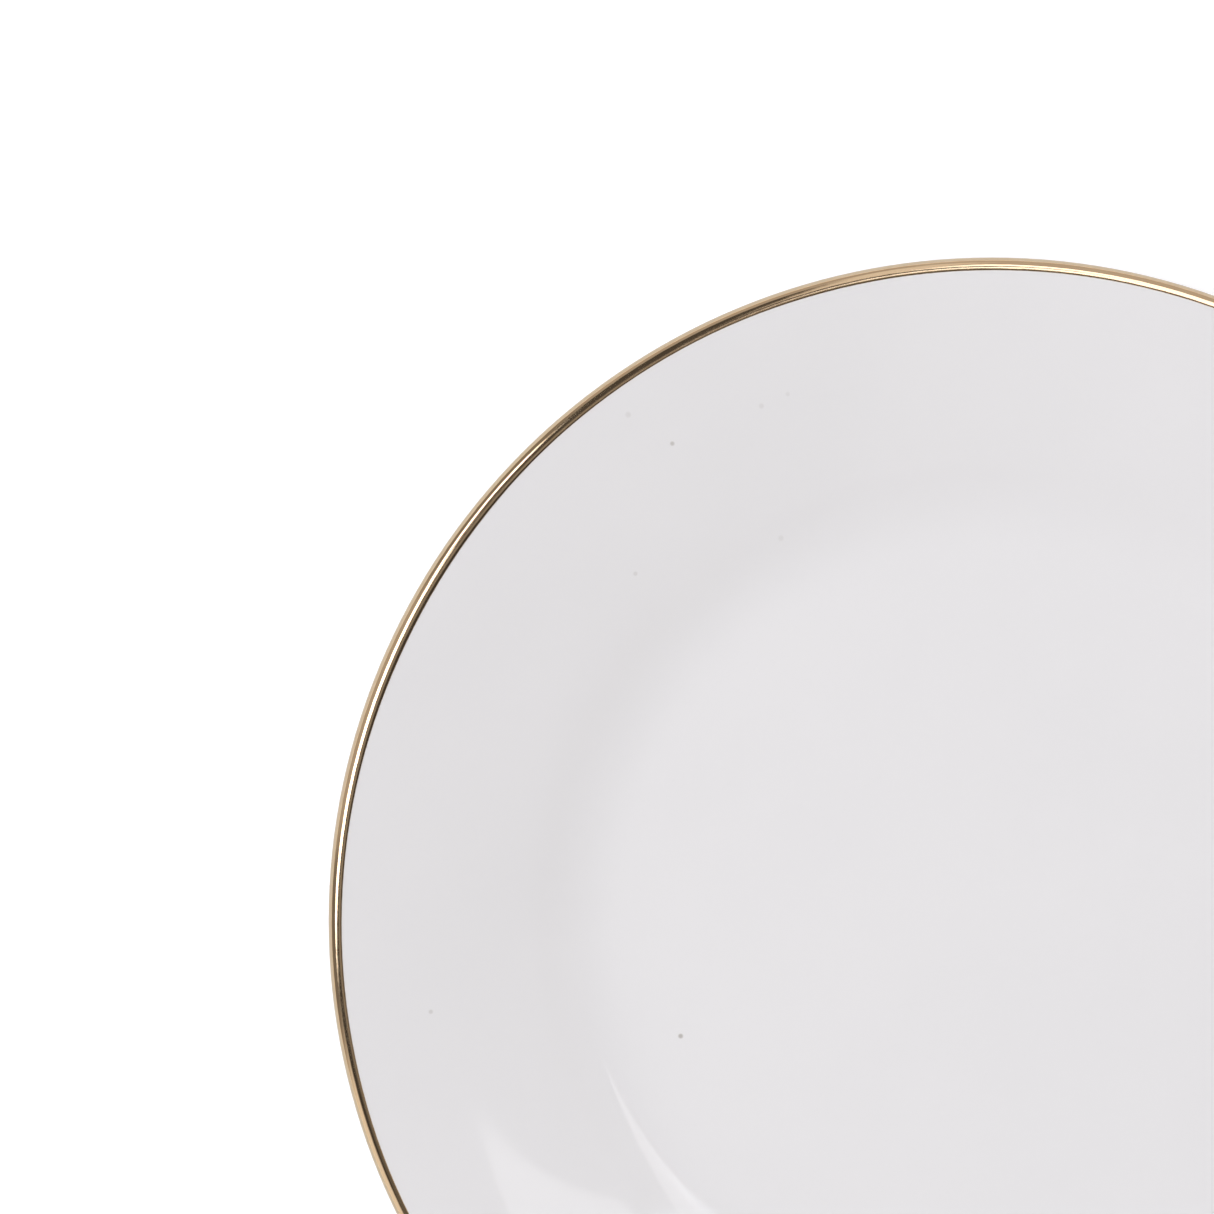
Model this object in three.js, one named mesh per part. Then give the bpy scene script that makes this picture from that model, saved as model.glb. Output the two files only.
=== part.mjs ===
// A rimmed china dinner plate with a gilt edge.
//
// The fired white body stands on a foot ring. One coat of clear glaze covers the front, the lip and the
// back, down to the foot. A second coat covers the base inside the foot, and the foot's ground edge is
// left bare. A burnished gold line runs over the lip.
//
// Millimetres. +Z is up, the plate's axis is Z, and the foot stands on z = 0.
import * as THREE from 'three';

const radians = THREE.MathUtils.degToRad;

// Overall size
const plateDiameter = 267; // across the gold edge
const plateHeight = 20; // from the table to the top of the gold edge
const latheSides = 48; // straight sides around each turned piece
const largestTurn = radians(20); // between two points of the section
const chordError = 0.1; // how far the section's chords may lie inside its arcs

// Layers
const glazeThickness = 0.2;
const goldThickness = 0.1;
const seam = 0.05; // clearance between two pieces that are fired together
const bodyDepth = glazeThickness + seam; // the bare china lies this far under the glazed surface
const goldReach = goldThickness + seam; // the gold stands this far out from the glazed surface

// Front: a flat floor, a long soft bend up into a shallow cavetto, and a wide rim that flattens outwards
const floorHeight = 6.9; // from the table to the glazed floor
const floorBend = 40;
const cavettoAngle = radians(20);
const shoulderCorner = 92.6; // radius where the lines of the cavetto and the inner rim cross
const shoulderBend = 45;
const innerRimAngle = radians(15.5);
const rimCorner = 112.4; // radius where the lines of the inner and the outer rim cross
const rimBend = 530;
const outerRimAngle = radians(11.5);

// Lip: level on top, well rounded on the front and a little on the back
const lipWidth = 2.4; // the level top and its rounding
const lipThickness = 2.9;
const crownBend = 3; // where the rim meets the level top
const lipFrontRounding = 2;
const lipBackRounding = 0.8;
const goldFront = 2.9; // the gold starts this far in from the edge, on the front
const goldBack = 1.3; // and ends this far in on the back

// Back: follows the front, a little steeper, so that the china thickens towards the foot
const baseHeight = 3.3; // from the table to the glazed underside of the floor
const backSteeper = radians(1);
const backRimCorner = 112.8;
const backRimBend = 515;
const backShoulderCorner = 93.6;
const backShoulderBend = 45;
const backFloorBend = 27;

// Foot ring
const footRadius = 76.2; // middle of the foot
const footWidth = 3.2; // at the table, over the glaze that its walls would carry
const footLean = radians(12); // both walls lean, so that the foot widens upwards
const footFillet = 1;
const footRounding = 0.7;
const footRoot = 2.4; // the foot ring meets the body at this height
const bareHeight = 0.9; // the glaze on the walls stops this far above the table

// Turns the corners of an outline into its points. A corner with a bend becomes an arc, and one with a
// name can start or end a layer. Each point keeps its heading, for drawing layers parallel to the outline.
function drawOutline(corners) {
  const heading = (from, to) => Math.atan2(to.z - from.z, to.r - from.r);
  const points = [];
  corners.forEach((corner, index) => {
    const { r, z, bend = 0, name } = corner;
    const before = corners[index - 1] ?? corner;
    const after = corners[index + 1] ?? corner;
    const leaving = heading(after === corner ? before : corner, after === corner ? corner : after);
    const arriving = before === corner ? leaving : heading(before, corner);
    const turn = THREE.MathUtils.euclideanModulo(leaving - arriving + Math.PI, 2 * Math.PI) - Math.PI;
    const stepTurn = bend && Math.min(largestTurn, 2 * Math.acos(1 - chordError / bend));
    const steps = bend ? Math.ceil(Math.abs(turn) / stepTurn) : 0;
    const radius = Math.sign(turn) * bend;
    const setback = bend * Math.tan(Math.abs(turn) / 2);
    for (let step = 0; step <= steps; step++) {
      const ahead = steps ? arriving + (turn * step) / steps : arriving;
      points.push({
        r: r - setback * Math.cos(arriving) + radius * (Math.sin(ahead) - Math.sin(arriving)),
        z: z - setback * Math.sin(arriving) - radius * (Math.cos(ahead) - Math.cos(arriving)),
        heading: ahead,
        name,
      });
    }
  });
  return points;
}

// The glazed surface, from the middle of the floor over the lip and the back to the middle of the base.
// Round the bare foot it is where the glaze would be, one glaze outside the china.
function drawPlate() {
  const edge = plateDiameter / 2 - goldReach;
  const top = plateHeight - goldReach;
  const underside = top - lipThickness;
  const outside = 1;
  const inside = -1;

  // From a corner, the point that lies inwards and down a slope, at a radius or at a height.
  const inTo = (corner, r, slope) => ({ r, z: corner.z - (corner.r - r) * Math.tan(slope) });
  const downTo = (corner, z, slope) => ({ r: corner.r - (corner.z - z) / Math.tan(slope), z });

  const crown = { r: edge - lipWidth, z: top };
  const rim = inTo(crown, rimCorner, outerRimAngle);
  const shoulder = inTo(rim, shoulderCorner, innerRimAngle);
  const floor = downTo(shoulder, floorHeight, cavettoAngle);

  const lipBack = { r: edge, z: underside };
  const backRim = inTo(lipBack, backRimCorner, outerRimAngle + backSteeper);
  const backShoulder = inTo(backRim, backShoulderCorner, innerRimAngle + backSteeper);
  const backFloor = downTo(backShoulder, baseHeight, cavettoAngle + backSteeper);

  const footWall = (side, z) => ({ r: footRadius + side * (footWidth / 2 + z * Math.tan(footLean)), z });

  return drawOutline([
    { r: 0, z: floorHeight, name: 'floor middle' },
    { ...floor, bend: floorBend },
    { ...shoulder, bend: shoulderBend },
    { ...rim, bend: rimBend },
    { ...inTo(crown, plateDiameter / 2 - goldFront, outerRimAngle), name: 'gold front' },
    { ...crown, bend: crownBend },
    { r: edge, z: top, bend: lipFrontRounding },
    { ...lipBack, bend: lipBackRounding },
    { ...inTo(lipBack, plateDiameter / 2 - goldBack, outerRimAngle + backSteeper), name: 'gold back' },
    { ...backRim, bend: backRimBend },
    { ...backShoulder, bend: backShoulderBend },
    { ...backFloor, bend: backFloorBend },
    { ...footWall(outside, baseHeight), bend: footFillet },
    { ...footWall(outside, footRoot), name: 'outer root' },
    { ...footWall(outside, footRoot - seam), name: 'foot top, outside' },
    { ...footWall(outside, bareHeight), name: 'outer glaze end' },
    { ...footWall(outside, -bodyDepth), bend: footRounding },
    { ...footWall(inside, -bodyDepth), bend: footRounding },
    { ...footWall(inside, bareHeight), name: 'base glaze end' },
    { ...footWall(inside, footRoot - seam), name: 'foot top, inside' },
    { ...footWall(inside, footRoot), name: 'inner root' },
    { ...footWall(inside, baseHeight), bend: footFillet },
    { r: 0, z: baseHeight, name: 'base middle' },
  ]);
}

const outline = drawPlate();

// The stretch of the outline from one named point to another, moved out from the plate by a distance.
function layer(from, to, out) {
  const start = outline.findIndex(({ name }) => name === from);
  const end = outline.findIndex(({ name }) => name === to);
  return outline.slice(start, end + 1).map(({ r, z, heading }) => new THREE.Vector2(
    Math.max(r - out * Math.sin(heading), 0),
    z + out * Math.cos(heading),
  ));
}

// A thin shell between two layers over the same stretch.
function skin(from, to, inner, outer) {
  return [...layer(from, to, outer), ...layer(from, to, inner).reverse()];
}

// Turns a section about Z. It runs clockwise, from the top of the axis or round a ring, and the lathe
// wants it the other way about to point the faces out.
function turned(name, section, material) {
  const startsOnAxis = section[0].x === 0;
  const points = [...section].reverse();
  if (!startsOnAxis) points.push(points[0].clone());
  const geometry = new THREE.LatheGeometry(points, latheSides);
  geometry.rotateX(Math.PI / 2);
  const mesh = new THREE.Mesh(geometry, new THREE.MeshStandardMaterial(material));
  mesh.name = name;
  return mesh;
}

const chinaBody = turned(
  'china_body',
  [...layer('floor middle', 'outer root', -bodyDepth), ...layer('inner root', 'base middle', -bodyDepth)],
  { color: 0xf0ede6, roughness: 0.6, metalness: 0 },
);

const footRing = turned(
  'foot_ring',
  layer('foot top, outside', 'foot top, inside', -bodyDepth),
  { color: 0xe6e0d4, roughness: 0.8, metalness: 0 },
);

const outerGlaze = turned(
  'outer_glaze',
  skin('floor middle', 'outer glaze end', -glazeThickness, 0),
  { color: 0xe6e4e6, roughness: 0.08, metalness: 0 },
);

const baseGlaze = turned(
  'base_glaze',
  skin('base glaze end', 'base middle', -glazeThickness, 0),
  { color: 0xe3e2e2, roughness: 0.1, metalness: 0 },
);

const goldRimBand = turned(
  'gold_rim_band',
  skin('gold front', 'gold back', seam, goldReach),
  { color: 0xc79c5e, roughness: 0.2, metalness: 1 },
);

const plate = new THREE.Group();
plate.add(chinaBody, footRing, outerGlaze, baseGlaze, goldRimBand);

export default plate;
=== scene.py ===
"""A rimmed china dinner plate with a gilt edge: its looks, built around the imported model.

Shapes are worked out in millimetres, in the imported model's frame (+Z up, the plate's axis is Z and the foot
stands on z = 0), and turned into metres as each mesh is made. Directions are an azimuth, counterclockwise
from +X seen from above, and a zenith angle from +Z.
"""

import math
import random

import bpy
import numpy as np
from mathutils import Matrix, Vector


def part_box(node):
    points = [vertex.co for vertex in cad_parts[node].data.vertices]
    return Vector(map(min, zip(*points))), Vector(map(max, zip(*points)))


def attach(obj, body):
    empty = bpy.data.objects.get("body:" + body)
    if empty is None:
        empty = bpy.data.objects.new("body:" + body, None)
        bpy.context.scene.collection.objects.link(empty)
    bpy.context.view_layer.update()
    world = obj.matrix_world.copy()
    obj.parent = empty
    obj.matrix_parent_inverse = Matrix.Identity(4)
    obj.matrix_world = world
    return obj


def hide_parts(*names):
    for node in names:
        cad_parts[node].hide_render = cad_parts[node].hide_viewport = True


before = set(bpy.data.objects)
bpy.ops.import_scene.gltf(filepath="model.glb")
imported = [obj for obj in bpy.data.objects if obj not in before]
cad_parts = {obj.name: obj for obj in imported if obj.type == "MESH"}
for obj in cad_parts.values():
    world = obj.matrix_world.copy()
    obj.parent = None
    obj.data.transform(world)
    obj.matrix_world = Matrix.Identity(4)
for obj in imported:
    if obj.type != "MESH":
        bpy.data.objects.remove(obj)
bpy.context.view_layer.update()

MM = 0.001
SEED = 267

# Overall size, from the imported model
EDGE_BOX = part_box("gold_rim_band")
PLATE_RADIUS = EDGE_BOX[1].x / MM
PLATE_HEIGHT = EDGE_BOX[1].z / MM

# How finely the pieces are turned
SIDES = 240
FINE_CHORD = 0.0012  # how far a chord may lie inside its arc
FINE_STEP = 2.6  # longest straight step along the section
COARSE_CHORD = 0.02  # for the faces that other layers cover
COARSE_STEP = 12.0
ON_AXIS = 0.000001  # a point nearer to the axis than this is on it
GOLD_STEPS_OUTSIDE = 96
GOLD_STEPS_INSIDE = 24
SHARP_ANGLE = math.radians(40)  # a sharper edge than this isn't shaded smooth

# Layers
GLAZE_THICKNESS = 0.2
GOLD_THICKNESS = 0.1
SEAM = 0.05
BODY_DEPTH = GLAZE_THICKNESS + SEAM
GOLD_REACH = GOLD_THICKNESS + SEAM
TOUCHING = 0.01  # the gap left under the glaze and the gold

# Front
FLOOR_HEIGHT = 6.9
FLOOR_BEND = 40
CAVETTO_ANGLE = math.radians(20)
SHOULDER_CORNER = 92.6
SHOULDER_BEND = 45
INNER_RIM_ANGLE = math.radians(15.5)
RIM_CORNER = 112.4
RIM_BEND = 530
OUTER_RIM_ANGLE = math.radians(11.5)

# Lip
LIP_WIDTH = 2.4
LIP_THICKNESS = 2.9
CROWN_BEND = 3
LIP_FRONT_ROUNDING = 2
LIP_BACK_ROUNDING = 0.8
GOLD_FRONT = 2.9
GOLD_BACK = 1.3

# Back
BASE_HEIGHT = 3.3
BACK_STEEPER = math.radians(1)
BACK_RIM_CORNER = 112.8
BACK_RIM_BEND = 515
BACK_SHOULDER_CORNER = 93.6
BACK_SHOULDER_BEND = 45
BACK_FLOOR_BEND = 27

# Foot ring
FOOT_RADIUS = 76.2
FOOT_WIDTH = 3.2
FOOT_LEAN = math.radians(12)
FOOT_FILLET = 1
FOOT_ROUNDING = 0.7
FOOT_ROOT = 2.4
BARE_HEIGHT = 0.9

# Firing: the kiln lets the rim down by up to WARP. Each row is how many waves go round the plate, their size
# beside the others, and where they start in radians.
WARP = 0.1
WARP_WAVES = [
    (2, 1.0, -0.9),
    (3, 0.45, 2.1),
    (5, 0.2, -0.4),
]

# Hand work
GLAZE_EDGE_ROUNDING = 0.6
GOLD_EDGE_ROUNDING = 0.07
GOLD_SETBACK = 0.12  # how far the line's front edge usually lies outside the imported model's
GOLD_WAVER = 0.04
GOLD_WAVES = (3, 5, 8, 13, 21)  # how many round the plate
# Where the brush has left the line wider or narrower: azimuth and width in degrees, and how much wider
GOLD_SWELLS = [
    (150, 18, 0.35),
    (212, 20, -0.35),
    (52, 24, -0.32),
]


# ---------------------------------------------------------------------------------------------------------
# The section


def draw_outline(corners, chord, longest):
    """Turns corners (r, z, bend, name) into rows of r, z and heading, and says where each name starts.

    A bend becomes an arc whose chords lie within chord of it, and straight stretches are divided into steps
    no longer than longest.
    """
    rows = []
    starts = {}
    for index, (r, z, bend, name) in enumerate(corners):
        before = corners[max(index - 1, 0)]
        after = corners[min(index + 1, len(corners) - 1)]
        leaving = math.atan2(after[1] - z, after[0] - r)
        arriving = math.atan2(z - before[1], r - before[0])
        if index == 0:
            arriving = leaving
        if index == len(corners) - 1:
            leaving = arriving
        turn = (leaving - arriving + math.pi) % (2 * math.pi) - math.pi
        steps = math.ceil(abs(turn) / (2 * math.acos(1 - chord / bend))) if bend else 0
        radius = math.copysign(bend, turn)
        setback = bend * math.tan(abs(turn) / 2)
        arc = []
        for step in range(steps + 1):
            ahead = arriving + turn * step / max(steps, 1)
            arc.append((
                r - setback * math.cos(arriving) + radius * (math.sin(ahead) - math.sin(arriving)),
                z - setback * math.sin(arriving) - radius * (math.cos(ahead) - math.cos(arriving)),
                ahead,
            ))
        if rows:
            last = rows[-1]
            pieces = math.ceil(math.hypot(arc[0][0] - last[0], arc[0][1] - last[1]) / longest)
            for piece in range(1, pieces):
                share = piece / pieces
                rows.append((
                    last[0] + (arc[0][0] - last[0]) * share,
                    last[1] + (arc[0][1] - last[1]) * share,
                    arriving,
                ))
        starts[name] = len(rows)
        rows.extend(arc)
    return np.array(rows), starts


def plate_corners():
    """The corners of the glazed surface, from the middle of the floor over the lip to the middle of the base.

    Round the bare foot they are where the glaze would be, one glaze outside the china.
    """
    edge = PLATE_RADIUS - GOLD_REACH
    top = PLATE_HEIGHT - GOLD_REACH
    underside = top - LIP_THICKNESS

    def in_to(corner, r, slope):
        return r, corner[1] - (corner[0] - r) * math.tan(slope)

    def down_to(corner, z, slope):
        return corner[0] - (corner[1] - z) / math.tan(slope), z

    def foot_wall(side, z):
        return FOOT_RADIUS + side * (FOOT_WIDTH / 2 + z * math.tan(FOOT_LEAN)), z

    crown = (edge - LIP_WIDTH, top)
    rim = in_to(crown, RIM_CORNER, OUTER_RIM_ANGLE)
    shoulder = in_to(rim, SHOULDER_CORNER, INNER_RIM_ANGLE)
    floor = down_to(shoulder, FLOOR_HEIGHT, CAVETTO_ANGLE)
    lip_back = (edge, underside)
    back_slope = OUTER_RIM_ANGLE + BACK_STEEPER
    back_rim = in_to(lip_back, BACK_RIM_CORNER, back_slope)
    back_shoulder = in_to(back_rim, BACK_SHOULDER_CORNER, INNER_RIM_ANGLE + BACK_STEEPER)
    back_floor = down_to(back_shoulder, BASE_HEIGHT, CAVETTO_ANGLE + BACK_STEEPER)
    return [
        (0, FLOOR_HEIGHT, 0, "floor middle"),
        (*floor, FLOOR_BEND, "floor"),
        (*shoulder, SHOULDER_BEND, "shoulder"),
        (*rim, RIM_BEND, "rim"),
        (*in_to(crown, PLATE_RADIUS - GOLD_FRONT, OUTER_RIM_ANGLE), 0, "gold front"),
        (*crown, CROWN_BEND, "crown"),
        (edge, top, LIP_FRONT_ROUNDING, "lip front"),
        (*lip_back, LIP_BACK_ROUNDING, "lip back"),
        (*in_to(lip_back, PLATE_RADIUS - GOLD_BACK, back_slope), 0, "gold back"),
        (*back_rim, BACK_RIM_BEND, "back rim"),
        (*back_shoulder, BACK_SHOULDER_BEND, "back shoulder"),
        (*back_floor, BACK_FLOOR_BEND, "back floor"),
        (*foot_wall(1, BASE_HEIGHT), FOOT_FILLET, "outer fillet"),
        (*foot_wall(1, FOOT_ROOT), 0, "outer root"),
        (*foot_wall(1, FOOT_ROOT - SEAM), 0, "foot top, outside"),
        (*foot_wall(1, BARE_HEIGHT), 0, "outer glaze end"),
        (*foot_wall(1, -BODY_DEPTH), FOOT_ROUNDING, "foot edge, outside"),
        (*foot_wall(-1, -BODY_DEPTH), FOOT_ROUNDING, "foot edge, inside"),
        (*foot_wall(-1, BARE_HEIGHT), 0, "base glaze end"),
        (*foot_wall(-1, FOOT_ROOT - SEAM), 0, "foot top, inside"),
        (*foot_wall(-1, FOOT_ROOT), 0, "inner root"),
        (*foot_wall(-1, BASE_HEIGHT), FOOT_FILLET, "inner fillet"),
        (0, BASE_HEIGHT, 0, "base middle"),
    ]


CORNERS = plate_corners()
FINE = draw_outline(CORNERS, FINE_CHORD, FINE_STEP)
COARSE = draw_outline(CORNERS, COARSE_CHORD, COARSE_STEP)


def stretch(outline, start, end):
    """The rows of an outline from one named point to another."""
    rows, starts = outline
    return rows[starts[start]:starts[end] + 1]


def place_in_stretch(outline, start, name):
    """Where a named point lies in the stretch that begins at start."""
    starts = outline[1]
    return starts[name] - starts[start]


def moved_out(rows, out):
    """Points (r, z) parallel to the outline. out is a distance, or one for each row."""
    r, z, heading = rows.T
    r = r - out * np.sin(heading)
    return np.column_stack([np.where(r < ON_AXIS, 0, r), z + out * np.cos(heading)])


def lengths(rows):
    """The distance along the outline to each row."""
    steps = np.hypot(np.diff(rows[:, 0]), np.diff(rows[:, 1]))
    return np.concatenate([[0], np.cumsum(steps)])


def resampled(rows, at):
    """The outline's rows at other distances along it."""
    along = lengths(rows)
    return np.column_stack([np.interp(at, along, rows[:, column]) for column in range(3)])


def rounded(to_edge, rounding):
    """0 at an edge and 1 from its rounding inwards, along a quarter circle."""
    share = np.clip(to_edge / rounding, 0, 1)
    return np.sqrt(1 - (1 - share) ** 2)


# ---------------------------------------------------------------------------------------------------------
# Turned pieces

AZIMUTHS = np.arange(SIDES) * 2 * math.pi / SIDES


def kiln_warp(r, azimuth):
    """The height that firing has added at a place, from -WARP to 0. The foot and everything inside it stay
    flat."""
    outside = np.clip((r - FOOT_RADIUS) / (PLATE_RADIUS - FOOT_RADIUS), 0, 1) ** 2
    saddle = sum(size * np.cos(waves * azimuth + start) for waves, size, start in WARP_WAVES)
    largest = sum(size for _, size, _ in WARP_WAVES)
    return -WARP * outside * (1 + saddle / largest) / 2


def turned(name, sections, node, material):
    """A closed piece turned about Z, which stands for a CAD node, hides it and wears the given material.

    sections has the shape (sides or 1, points, 2). A section is a closed ring of (r, z), clockwise with the
    axis on its left. Where two neighbouring points lie on the axis, the piece goes through the middle.
    """
    sections = np.broadcast_to(sections, (SIDES, *sections.shape[1:]))
    r = sections[:, :, 0]
    azimuth = np.broadcast_to(AZIMUTHS[:, None], r.shape)
    z = sections[:, :, 1] + kiln_warp(r, azimuth)
    points = np.stack([r * np.cos(azimuth), r * np.sin(azimuth), z], axis=2) * MM
    count = r.shape[1]
    on_axis = [index for index in range(count) if r[0, index] == 0]

    vertices = []
    ids = np.zeros((SIDES, count), int)
    for index in range(count):
        if index in on_axis:
            ids[:, index] = len(vertices)
            vertices.append(points[0, index])
        else:
            ids[:, index] = len(vertices) + np.arange(SIDES)
            vertices.extend(points[:, index])

    faces = []
    for index in range(count):
        after = (index + 1) % count
        if index in on_axis and after in on_axis:
            continue
        for side in range(SIDES):
            beside = (side + 1) % SIDES
            corners = (ids[side, index], ids[side, after], ids[beside, after], ids[beside, index])
            faces.append(list(dict.fromkeys(int(corner) for corner in corners)))

    mesh = bpy.data.meshes.new(name)
    mesh.from_pydata(vertices, [], faces)
    mesh.materials.append(material)
    mesh.shade_smooth()
    mesh.set_sharp_from_angle(angle=SHARP_ANGLE)
    mesh.validate()
    piece = bpy.data.objects.new(name, mesh)
    bpy.context.scene.collection.objects.link(piece)
    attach(piece, "root")
    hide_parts(node)


def make_body(material):
    """The fired white china, which the glaze covers everywhere but at the foot."""
    section = np.concatenate([
        moved_out(stretch(FINE, "floor middle", "outer root"), -BODY_DEPTH),
        moved_out(stretch(FINE, "inner root", "base middle"), -BODY_DEPTH),
    ])
    turned("fired_body", section[None], "china_body", material)


def make_foot(material):
    """The foot ring, ground bare where it stands."""
    section = moved_out(stretch(FINE, "foot top, outside", "foot top, inside"), -BODY_DEPTH)
    turned("ground_foot", section[None], "foot_ring", material)


def make_glaze(name, start, end, bare_end, node, material):
    """A coat of glaze, drawn down to a rounded edge where it ends at the bare foot."""
    over = stretch(FINE, start, end)
    along = lengths(over)
    to_edge = along[-1] - along if bare_end == end else along
    outside = -GLAZE_THICKNESS + rounded(to_edge, GLAZE_EDGE_ROUNDING) * GLAZE_THICKNESS
    inside = moved_out(stretch(COARSE, start, end), TOUCHING - BODY_DEPTH)[::-1]
    section = np.concatenate([moved_out(over, outside), inside])
    turned(name, section[None], node, material)


def hump(azimuth, middle, width):
    """1 at the middle, and fading to nothing on either side of it. The middle and width are in degrees."""
    off = math.degrees(math.remainder(azimuth - math.radians(middle), 2 * math.pi))
    return math.exp(-(off / width) ** 2)


def make_gold(material):
    """The burnished line over the lip, with the slight waver of a line put on by hand."""
    over = stretch(FINE, "rim", "back rim")
    along = lengths(over)
    start = along[place_in_stretch(FINE, "rim", "gold front")]
    end = along[place_in_stretch(FINE, "rim", "gold back")]
    draw = random.Random(SEED)
    wavers = [(waves, draw.uniform(0, 2 * math.pi), GOLD_WAVER / waves ** 0.5) for waves in GOLD_WAVES]

    sections = []
    for azimuth in AZIMUTHS:
        waver = sum(size * math.sin(waves * azimuth + phase) for waves, phase, size in wavers)
        wider = sum(more * hump(azimuth, middle, width) for middle, width, more in GOLD_SWELLS)
        first = start + GOLD_SETBACK - wider + waver
        last = end + waver / 2
        at = np.linspace(first, last, GOLD_STEPS_OUTSIDE)
        to_edge = np.minimum(at - first, last - at)
        out = TOUCHING + (GOLD_REACH - TOUCHING) * rounded(to_edge, GOLD_EDGE_ROUNDING)
        outer = moved_out(resampled(over, at), out)
        inner = moved_out(resampled(over, np.linspace(last, first, GOLD_STEPS_INSIDE)), TOUCHING)
        sections.append(np.concatenate([outer, inner[1:-1]]))
    turned("gilt_edge", np.array(sections), "gold_rim_band", material)


# ---------------------------------------------------------------------------------------------------------
# Nodes


def add_node(tree, kind, inputs=None, **settings):
    """A new node. An input is given a value, or is linked when it is given another node's output."""
    node = tree.nodes.new(kind)
    for setting, value in settings.items():
        setattr(node, setting, value)
    for socket, value in (inputs or {}).items():
        if isinstance(value, bpy.types.NodeSocket):
            tree.links.new(value, node.inputs[socket])
        else:
            node.inputs[socket].default_value = value
    return node


def calculate(tree, operation, *values):
    """One step of arithmetic on numbers."""
    return add_node(tree, "ShaderNodeMath", dict(enumerate(values)), operation=operation).outputs[0]


def vector(tree, operation, *values):
    """One step of arithmetic on vectors."""
    return add_node(tree, "ShaderNodeVectorMath", dict(enumerate(values)), operation=operation)


def smooth(tree, value, low, high, at_low=0.0, at_high=1.0):
    """A smooth step from one level to another."""
    inputs = {"Value": value, "From Min": low, "From Max": high, "To Min": at_low, "To Max": at_high}
    return add_node(tree, "ShaderNodeMapRange", inputs, interpolation_type="SMOOTHSTEP").outputs[0]


def blend(tree, share, first, second):
    """Two colours, mixed."""
    return add_node(tree, "ShaderNodeMix", {0: share, 6: first, 7: second}, data_type="RGBA").outputs[2]


def noise(tree, place, size, detail=2.0, roughness=0.5):
    """Seamless noise from 0 to 1, with features of about a size in millimetres."""
    inputs = {"Vector": place, "Scale": 1 / (size * MM), "Detail": detail, "Roughness": roughness}
    return add_node(tree, "ShaderNodeTexNoise", inputs).outputs[0]


def new_material(name):
    """A material, its tree and its principled shader."""
    material = bpy.data.materials.new(name)
    material.use_nodes = True
    tree = material.node_tree
    return material, tree, tree.nodes["Principled BSDF"]


def place_on_plate(tree):
    """The place on the plate in metres."""
    return add_node(tree, "ShaderNodeTexCoord").outputs["Object"]


def bump(tree, shader, *layers):
    """Raises the surface by each layer (height from 0 to 1, millimetres), one over the other."""
    normal = None
    for height, depth in layers:
        inputs = {"Height": height, "Distance": depth * MM, "Strength": 1.0}
        if normal is not None:
            inputs["Normal"] = normal
        normal = add_node(tree, "ShaderNodeBump", inputs).outputs[0]
    tree.links.new(normal, shader.inputs["Normal"])


# ---------------------------------------------------------------------------------------------------------
# Materials

# Glaze over white china, and where it lies thick
OUTER_GLAZE_TINT = (0.822, 0.814, 0.824, 1)
OUTER_GLAZE_POOLED = (0.782, 0.776, 0.787, 1)
BASE_GLAZE_TINT = (0.815, 0.81, 0.818, 1)
BASE_GLAZE_POOLED = (0.768, 0.765, 0.773, 1)
MOST_POOLED = 0.35
GLAZE_ROUGHNESS = (0.03, 0.06)
GLAZE_IOR = 1.5
GLAZE_WAVE_DEPTH = 0.010
GLAZE_RIPPLE_DEPTH = 0.0004

# Iron specks in the glaze: x, y, width in millimetres and how dark
SPECKS = [
    (-113.0, -18.5, 1.0, 0.26),
    (-62.4, -24.6, 1.1, 0.60),
    (-71.7, 69.9, 1.0, 0.20),
    (-42.0, 77.2, 1.3, 0.12),
    (-64.3, 96.1, 1.0, 0.45),
    (-73.2, 101.8, 1.3, 0.14),
    (-46.3, 103.7, 1.2, 0.14),
    (-41.0, 106.1, 1.0, 0.12),
]
SPECK_COLOUR = (0.30, 0.26, 0.22, 1)
# How far from its middle a speck starts and stops fading, as shares of its width
SPECK_CORE = 0.2
SPECK_REACH = 0.62

# China, from the hollows to the tops of its grain
FIRED_DARK = (0.80, 0.78, 0.73, 1)
FIRED_LIGHT = (0.87, 0.85, 0.81, 1)
FIRED_ROUGHNESS = (0.55, 0.68)
FIRED_GRAIN_DEPTH = 0.01
BARE_DARK = (0.62, 0.56, 0.47, 1)
BARE_LIGHT = (0.80, 0.76, 0.68, 1)
BARE_ROUGHNESS = (0.7, 0.9)
BARE_GRIT_DEPTH = 0.06
# The wear at the foot, the heights between which it fades out, and how strong it is from place to place
WORN_COLOUR = (0.48, 0.45, 0.41, 1)
WORN_FULLY = 0.02
WORN_LAST = 0.5
LEAST_WORN = 0.25
MOST_WORN = 0.8

# Gold, from the hollows to the tops of its strokes
GOLD_DARK = (0.85, 0.60, 0.35, 1)
GOLD_LIGHT = (0.97, 0.77, 0.53, 1)
GOLD_ROUGHNESS = (0.06, 0.12)
# The strokes' pattern runs round a circle of this radius instead of the rim's, so that a stroke is about 20
# times as long as it is wide
STROKE_CIRCLE = 9
STROKE_DEPTH = 0.004
WEAR_DEPTH = 0.01


def speckled(tree, place, colour):
    """Darkens a colour at the specks."""
    flat = vector(tree, "MULTIPLY", place, (1, 1, 0)).outputs[0]
    for x, y, width, darkness in SPECKS:
        away = vector(tree, "DISTANCE", flat, (x * MM, y * MM, 0)).outputs["Value"]
        share = smooth(tree, away, width * MM * SPECK_CORE, width * MM * SPECK_REACH, darkness, 0.0)
        colour = blend(tree, share, colour, SPECK_COLOUR)
    return colour


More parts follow.
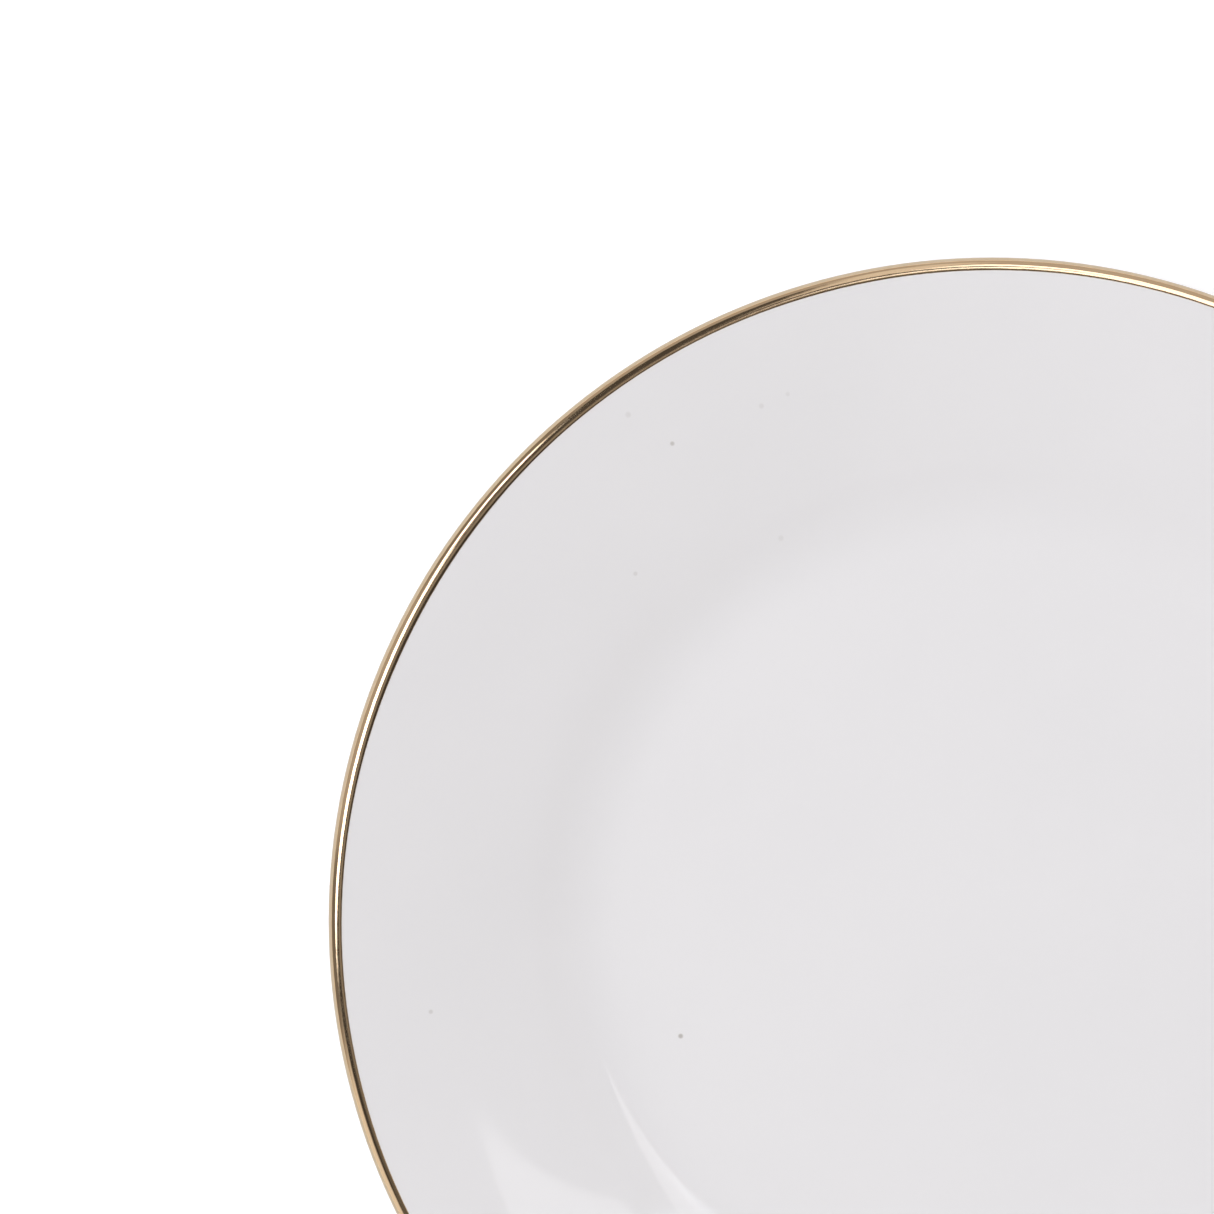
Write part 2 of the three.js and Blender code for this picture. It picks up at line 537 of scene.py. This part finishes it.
def glaze_material(name, tint, pooled):
    """Clear glaze over white china: glossy, faintly wavy, and a little deeper in colour where it is thick."""
    material, tree, shader = new_material(name)
    place = place_on_plate(tree)
    clouds = noise(tree, place, size=38, detail=3)
    thickness = smooth(tree, clouds, 0.2, 0.8, 0.0, MOST_POOLED)
    colour = speckled(tree, place, blend(tree, thickness, tint, pooled))
    tree.links.new(colour, shader.inputs["Base Color"])

    smear = noise(tree, place, size=16, detail=4, roughness=0.6)
    tree.links.new(smooth(tree, smear, 0.3, 0.75, *GLAZE_ROUGHNESS), shader.inputs["Roughness"])
    shader.inputs["IOR"].default_value = GLAZE_IOR
    waves = noise(tree, place, size=24, detail=1)
    ripples = noise(tree, place, size=2.2, detail=1)
    bump(tree, shader, (waves, GLAZE_WAVE_DEPTH), (ripples, GLAZE_RIPPLE_DEPTH))
    return material


def body_material():
    """Fired white china, matt and fine-grained."""
    material, tree, shader = new_material("fired white china")
    place = place_on_plate(tree)
    grain = noise(tree, place, size=0.5, detail=4)
    tree.links.new(blend(tree, grain, FIRED_DARK, FIRED_LIGHT), shader.inputs["Base Color"])
    tree.links.new(smooth(tree, grain, 0.2, 0.8, *FIRED_ROUGHNESS), shader.inputs["Roughness"])
    bump(tree, shader, (grain, FIRED_GRAIN_DEPTH))
    return material


def foot_material():
    """Bare china, ground at the foot: cream, gritty, and greyed where it has been slid about on tables."""
    material, tree, shader = new_material("bare ground foot")
    place = place_on_plate(tree)
    height = add_node(tree, "ShaderNodeSeparateXYZ", {0: place}).outputs["Z"]
    grit = noise(tree, place, size=0.35, detail=5, roughness=0.65)
    blotches = noise(tree, place, size=9, detail=3)
    low = smooth(tree, height, WORN_FULLY * MM, WORN_LAST * MM, 1.0, 0.0)
    patchy = smooth(tree, blotches, 0.35, 0.7, LEAST_WORN, MOST_WORN)
    worn = calculate(tree, "MULTIPLY", low, patchy)
    colour = blend(tree, grit, BARE_DARK, BARE_LIGHT)
    colour = blend(tree, worn, colour, WORN_COLOUR)
    tree.links.new(colour, shader.inputs["Base Color"])
    tree.links.new(smooth(tree, grit, 0.25, 0.75, *BARE_ROUGHNESS), shader.inputs["Roughness"])
    bump(tree, shader, (grit, BARE_GRIT_DEPTH))
    return material


def gold_material():
    """Burnished gold: warm and mirror-like, with fine strokes along the line from brush and burnisher."""
    material, tree, shader = new_material("burnished gold")
    place = place_on_plate(tree)
    flat = vector(tree, "MULTIPLY", place, (1, 1, 0)).outputs[0]
    radius = vector(tree, "LENGTH", flat).outputs["Value"]
    height = add_node(tree, "ShaderNodeSeparateXYZ", {0: place}).outputs["Z"]
    around = vector(tree, "SCALE", vector(tree, "NORMALIZE", flat).outputs[0])
    around.inputs["Scale"].default_value = STROKE_CIRCLE * MM
    both = calculate(tree, "ADD", radius, height)
    across = add_node(tree, "ShaderNodeCombineXYZ", {"X": radius, "Y": height, "Z": both})
    along_strokes = vector(tree, "ADD", around.outputs[0], across.outputs[0]).outputs[0]

    strokes = noise(tree, along_strokes, size=0.22, detail=3, roughness=0.6)
    wear = noise(tree, place, size=5, detail=4, roughness=0.6)
    tone = calculate(tree, "MULTIPLY_ADD", strokes, 0.5, calculate(tree, "MULTIPLY", wear, 0.5))
    tree.links.new(blend(tree, tone, GOLD_DARK, GOLD_LIGHT), shader.inputs["Base Color"])
    tree.links.new(smooth(tree, tone, 0.3, 0.7, *GOLD_ROUGHNESS), shader.inputs["Roughness"])
    shader.inputs["Metallic"].default_value = 1.0
    bump(tree, shader, (strokes, STROKE_DEPTH), (wear, WEAR_DEPTH))
    return material


# ---------------------------------------------------------------------------------------------------------
# Studio

# The camera looks straight down from this place
CAMERA_PLACE = (-77.46, 63.15)
CAMERA_ABOVE_RIM = 676.5
CAMERA_LENS = 100
CAMERA_SENSOR = 36
CAMERA_NEAREST = 50
CAMERA_FARTHEST = 100000

# The table is a white ground, and shows dimmer where it is mirrored in the plate
TABLE_HALF_WIDTH = 20000
TABLE_UNDER_FOOT = 0.02
TABLE_COLOUR = (0.9, 0.9, 0.9, 1)
MIRRORED_TABLE_COLOUR = (0.67, 0.70, 0.74, 1)
TABLE_GLOW = 0.2
TABLE_GLOW_COLOUR = (1, 1, 1, 1)
TABLE_ROUGHNESS = 0.7

# The studio is dim overhead, lighter at the sides and white at the horizon. The edges are zenith angles in
# degrees.
CEILING_EDGE = 20
CEILING_RADIANCE = 0.12
WALL_EDGE = 50
WALL_RADIANCE = 0.42
HORIZON_EDGE = 80
HORIZON_RADIANCE = 1.0

# Softboxes, cards and gaps seen in the glaze and the gold. Each row is a middle azimuth, half the width, a
# middle zenith angle and half the height, all in degrees, and the radiance. A later row lies over an earlier.
PATCHES = [
    (66, 26, 62, 18, 0.50),
    (116, 18, 22, 30, 0.07),
    (139, 12, 66, 18, 0.22),
    (208, 13, 22, 18, 0.05),
    (188, 9, 60, 30, 0.18),
    (210, 9, 68, 20, 0.80),
    (322, 26, 14, 7, 0.04),
    (8, 16, 36, 8, 0.55),
    (34, 20, 13, 7, 2.10),
    (54, 27, 28, 8, 2.00),
    (90, 7, 38, 22, 0.75),
    (141, 9, 37, 8, 3.20),
    (157, 8, 27, 12, 3.10),
    (178, 15, 25, 14, 3.40),
]
PATCH_EDGE = 3  # a patch fades over this many degrees on either side of its edge

# A soft round light beside the camera: its azimuth and zenith angle, and its reach on a sphere of radius 1
OVERHEAD = (292, 3.1)
OVERHEAD_REACH = 0.20
OVERHEAD_RADIANCE = 0.20

# Dim places are a little warm, and the brightest are a little cool
DIM_LEVEL = 0.1
DIM_TINT = (1.0, 0.93, 0.88, 1)
BRIGHT_LEVEL = 1.8
BRIGHT_TINT = (0.97, 1.0, 1.07, 1)

# The strip light is level, with its length along an azimuth from one corner and its width a quarter turn on
STRIP_CORNER = (277, -25, 900)
STRIP_AZIMUTH = 61
STRIP_LENGTH = 700
STRIP_WIDTH = 73
STRIP_RADIANCE = 1.25
AREA_LIGHT_POWER = 4  # an area light's power for each square metre and unit of radiance

# The fill light comes from this azimuth and zenith angle
FILL_FROM = (185, 19)
FILL_STRENGTH = 1.37
FILL_ANGLE = math.radians(60)


def direction(azimuth, zenith):
    """The unit vector towards an azimuth and zenith angle in degrees."""
    azimuth = math.radians(azimuth)
    zenith = math.radians(zenith)
    return Vector((
        math.sin(zenith) * math.cos(azimuth),
        math.sin(zenith) * math.sin(azimuth),
        math.cos(zenith),
    ))


def within(tree, off, half_width):
    """1 up to half a patch's width from its middle and 0 beyond, with a soft edge."""
    inner = math.radians(half_width - PATCH_EDGE)
    outer = math.radians(half_width + PATCH_EDGE)
    return smooth(tree, off, inner, outer, 1.0, 0.0)


def moved_to(tree, level, share, wanted):
    """A level brought to another by a share."""
    change = calculate(tree, "SUBTRACT", wanted, level)
    return calculate(tree, "MULTIPLY_ADD", share, change, level)


def make_studio():
    """White walls under a dim ceiling, with the softboxes, cards and gaps that the plate reflects."""
    world = bpy.data.worlds.new("studio")
    world.use_nodes = True
    bpy.context.scene.world = world
    tree = world.node_tree
    tree.nodes.clear()
    towards = add_node(tree, "ShaderNodeTexCoord").outputs["Generated"]
    towards = vector(tree, "NORMALIZE", towards).outputs[0]
    x, y, z = add_node(tree, "ShaderNodeSeparateXYZ", {0: towards}).outputs
    zenith = calculate(tree, "ARCCOSINE", z)
    azimuth = calculate(tree, "ARCTAN2", y, x)

    edges = math.radians(CEILING_EDGE), math.radians(WALL_EDGE)
    level = smooth(tree, zenith, *edges, CEILING_RADIANCE, WALL_RADIANCE)
    for middle, half_width, height, half_height, wanted in PATCHES:
        sideways = calculate(tree, "SUBTRACT", azimuth, math.radians(middle))
        sideways = calculate(tree, "ARCCOSINE", calculate(tree, "COSINE", sideways))
        upwards = calculate(tree, "SUBTRACT", zenith, math.radians(height))
        upwards = calculate(tree, "ABSOLUTE", upwards)
        share = calculate(
            tree, "MULTIPLY", within(tree, sideways, half_width), within(tree, upwards, half_height))
        level = moved_to(tree, level, share, wanted)
    away = vector(tree, "DISTANCE", towards, direction(*OVERHEAD)).outputs["Value"]
    overhead = smooth(tree, away, 0, OVERHEAD_REACH, OVERHEAD_RADIANCE, 0.0)
    level = calculate(tree, "ADD", level, overhead)
    horizon = smooth(tree, zenith, math.radians(HORIZON_EDGE), math.radians(90))
    level = moved_to(tree, level, horizon, HORIZON_RADIANCE)

    tint = blend(tree, smooth(tree, level, DIM_LEVEL, BRIGHT_LEVEL), DIM_TINT, BRIGHT_TINT)
    background = add_node(tree, "ShaderNodeBackground", {"Color": tint, "Strength": level})
    output = add_node(tree, "ShaderNodeOutputWorld")
    tree.links.new(background.outputs[0], output.inputs[0])


def make_strip_light():
    """The light that shows as the pale corner on the rim and the thin streak round the floor."""
    light = bpy.data.lights.new("strip_light", "AREA")
    light.shape = "RECTANGLE"
    light.size = STRIP_LENGTH * MM
    light.size_y = STRIP_WIDTH * MM
    light.energy = STRIP_RADIANCE * AREA_LIGHT_POWER * light.size * light.size_y
    lamp = bpy.data.objects.new("strip_light", light)
    turn = Matrix.Rotation(math.radians(STRIP_AZIMUTH), 4, "Z")
    centre = Vector(STRIP_CORNER) + turn @ Vector((STRIP_LENGTH / 2, STRIP_WIDTH / 2, 0))
    lamp.matrix_world = Matrix.Translation(centre * MM) @ turn
    lamp.visible_camera = False
    bpy.context.scene.collection.objects.link(lamp)


def make_fill_light():
    """A wide soft light that isn't mirrored in anything."""
    light = bpy.data.lights.new("fill_light", "SUN")
    light.energy = FILL_STRENGTH
    light.angle = FILL_ANGLE
    fill = bpy.data.objects.new("fill_light", light)
    fill.matrix_world = direction(*FILL_FROM).to_track_quat("Z", "Y").to_matrix().to_4x4()
    bpy.context.scene.collection.objects.link(fill)
    fill.visible_glossy = False


def make_table():
    """A plain pale table that the plate stands on."""
    half = TABLE_HALF_WIDTH * MM
    height = -TABLE_UNDER_FOOT * MM
    mesh = bpy.data.meshes.new("table")
    corners = [(-half, -half, height), (half, -half, height), (half, half, height), (-half, half, height)]
    mesh.from_pydata(corners, [], [(0, 1, 2, 3)])
    material, tree, shader = new_material("white table")
    mirrored = add_node(tree, "ShaderNodeLightPath").outputs["Is Glossy Ray"]
    colour = blend(tree, mirrored, TABLE_COLOUR, MIRRORED_TABLE_COLOUR)
    glow = smooth(tree, mirrored, 0, 1, TABLE_GLOW, 0)
    tree.links.new(colour, shader.inputs["Base Color"])
    tree.links.new(glow, shader.inputs["Emission Strength"])
    shader.inputs["Emission Color"].default_value = TABLE_GLOW_COLOUR
    shader.inputs["Roughness"].default_value = TABLE_ROUGHNESS
    mesh.materials.append(material)
    table = bpy.data.objects.new("table", mesh)
    bpy.context.scene.collection.objects.link(table)


def make_camera():
    """Straight down over the middle of the frame, which the plate fills from its lower right corner."""
    camera = bpy.data.cameras.new("camera")
    camera.lens = CAMERA_LENS
    camera.sensor_width = CAMERA_SENSOR
    camera.clip_start = CAMERA_NEAREST * MM
    camera.clip_end = CAMERA_FARTHEST * MM
    viewer = bpy.data.objects.new("camera", camera)
    viewer.location = Vector((*CAMERA_PLACE, PLATE_HEIGHT + CAMERA_ABOVE_RIM)) * MM
    bpy.context.scene.collection.objects.link(viewer)
    bpy.context.scene.camera = viewer


make_camera()
make_studio()
make_strip_light()
make_fill_light()
make_table()

make_body(body_material())
make_foot(foot_material())
outer_look = glaze_material("glaze over white", OUTER_GLAZE_TINT, OUTER_GLAZE_POOLED)
make_glaze("front_and_back_glaze", "floor middle", "outer glaze end", "outer glaze end",
           "outer_glaze", outer_look)
base_look = glaze_material("glaze over the base", BASE_GLAZE_TINT, BASE_GLAZE_POOLED)
make_glaze("base_glaze_coat", "base glaze end", "base middle", "base glaze end",
           "base_glaze", base_look)
make_gold(gold_material())

bpy.context.scene.view_settings.view_transform = "Standard"
